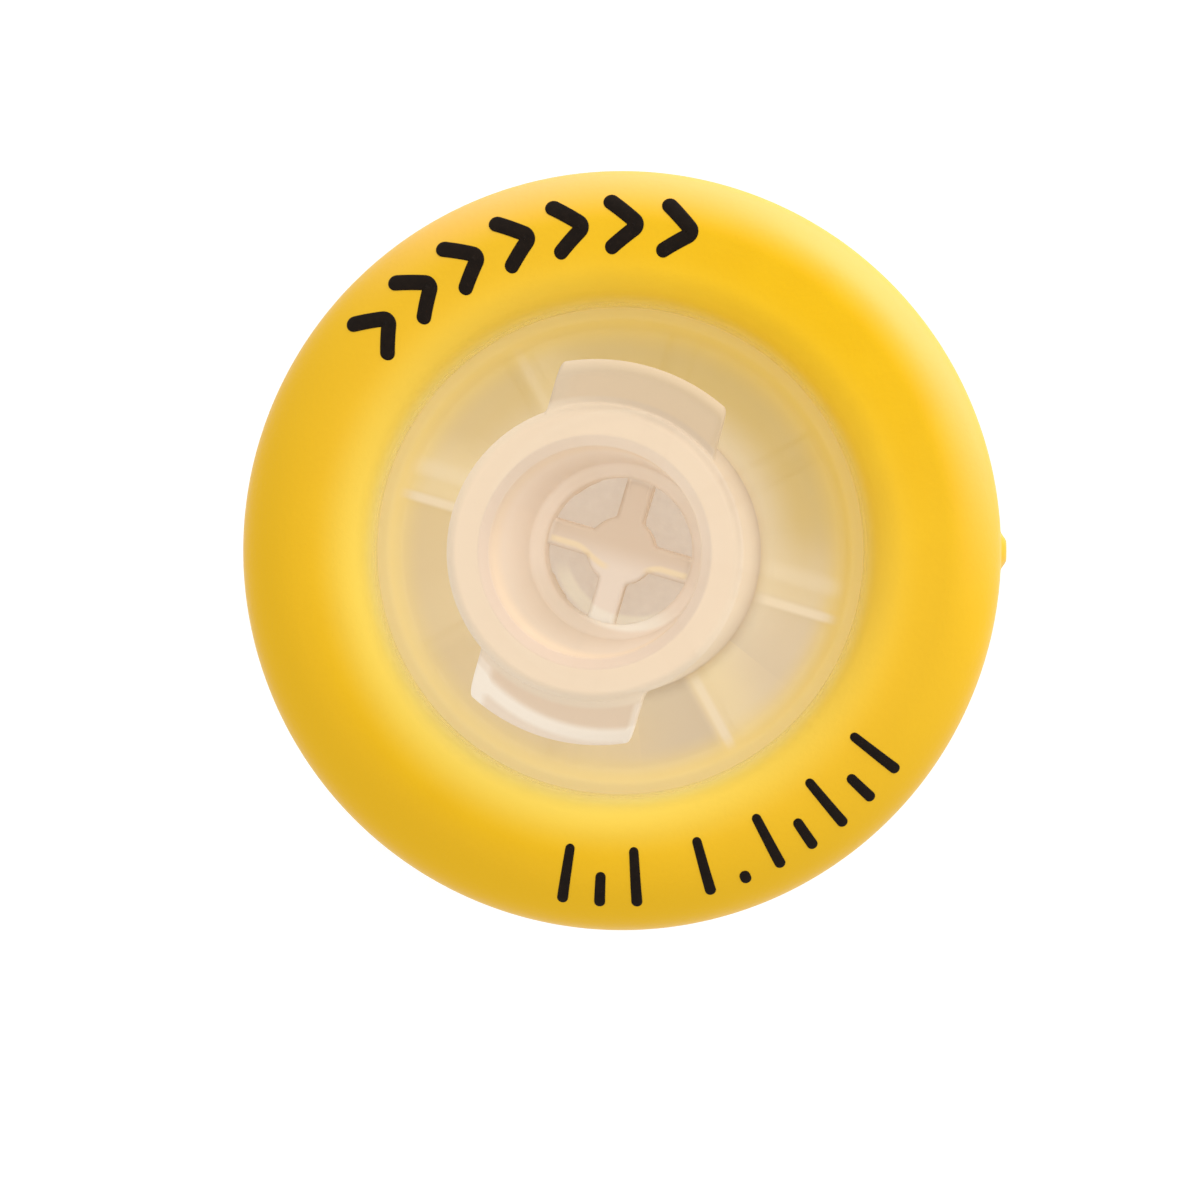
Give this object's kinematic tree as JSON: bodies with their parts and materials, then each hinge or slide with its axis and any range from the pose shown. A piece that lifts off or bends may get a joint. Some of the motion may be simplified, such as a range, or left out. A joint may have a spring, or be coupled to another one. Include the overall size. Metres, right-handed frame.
{
  "type": "syringe filter",
  "caption": "Round syringe filter with a female luer lock inlet, a male luer slip outlet and a coloured overmoulded ring.",
  "frame": {"origin": "on the axis, at the end of the outlet tip that it stands on", "axes": "+Z along the axis from the outlet tip to the inlet's mouth; +X towards the gate mark on the ring"},
  "size_m": [0.0167, 0.0166, 0.0203],
  "materials": {
    "natural_polypropylene": "translucent satin",
    "nylon_membrane": "matt",
    "yellow_polypropylene": "satin"
  },
  "bodies": {
    "root": {"inlet_housing": "natural_polypropylene", "outlet_housing": "natural_polypropylene", "membrane": "nylon_membrane", "overmould_ring": "yellow_polypropylene"}
  },
  "joints": []
}
